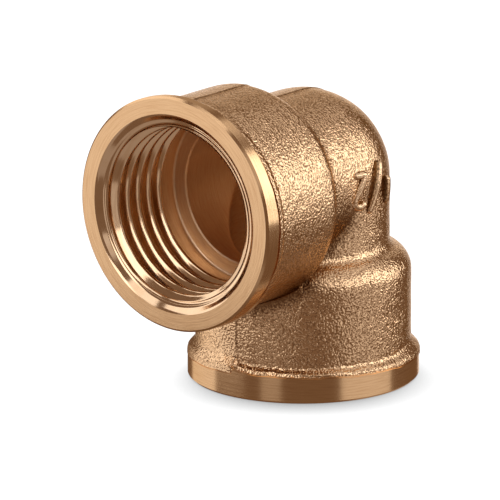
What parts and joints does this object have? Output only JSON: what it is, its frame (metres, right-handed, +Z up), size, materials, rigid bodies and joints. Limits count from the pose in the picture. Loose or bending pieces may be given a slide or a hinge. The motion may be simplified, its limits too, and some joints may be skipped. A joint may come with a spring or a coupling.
{
  "type": "threaded pipe elbow",
  "caption": "Compact cast bronze pipe elbow with a ball-shaped bend and internally threaded ports at a right angle, each in a barrel with a turned collar.",
  "frame": {"origin": "on the floor under the middle of the fitting's box; the upright port's face lies on the floor", "axes": "+Z up along the upright port's axis, -Y out of the level port, +X to the right when looking into the level port"},
  "size_m": [0.0266, 0.0366, 0.0365],
  "materials": {
    "bronze": "sand-cast outside, machined collars and bores"
  },
  "bodies": {
    "root": {"elbow_body": "bronze"}
  },
  "joints": []
}
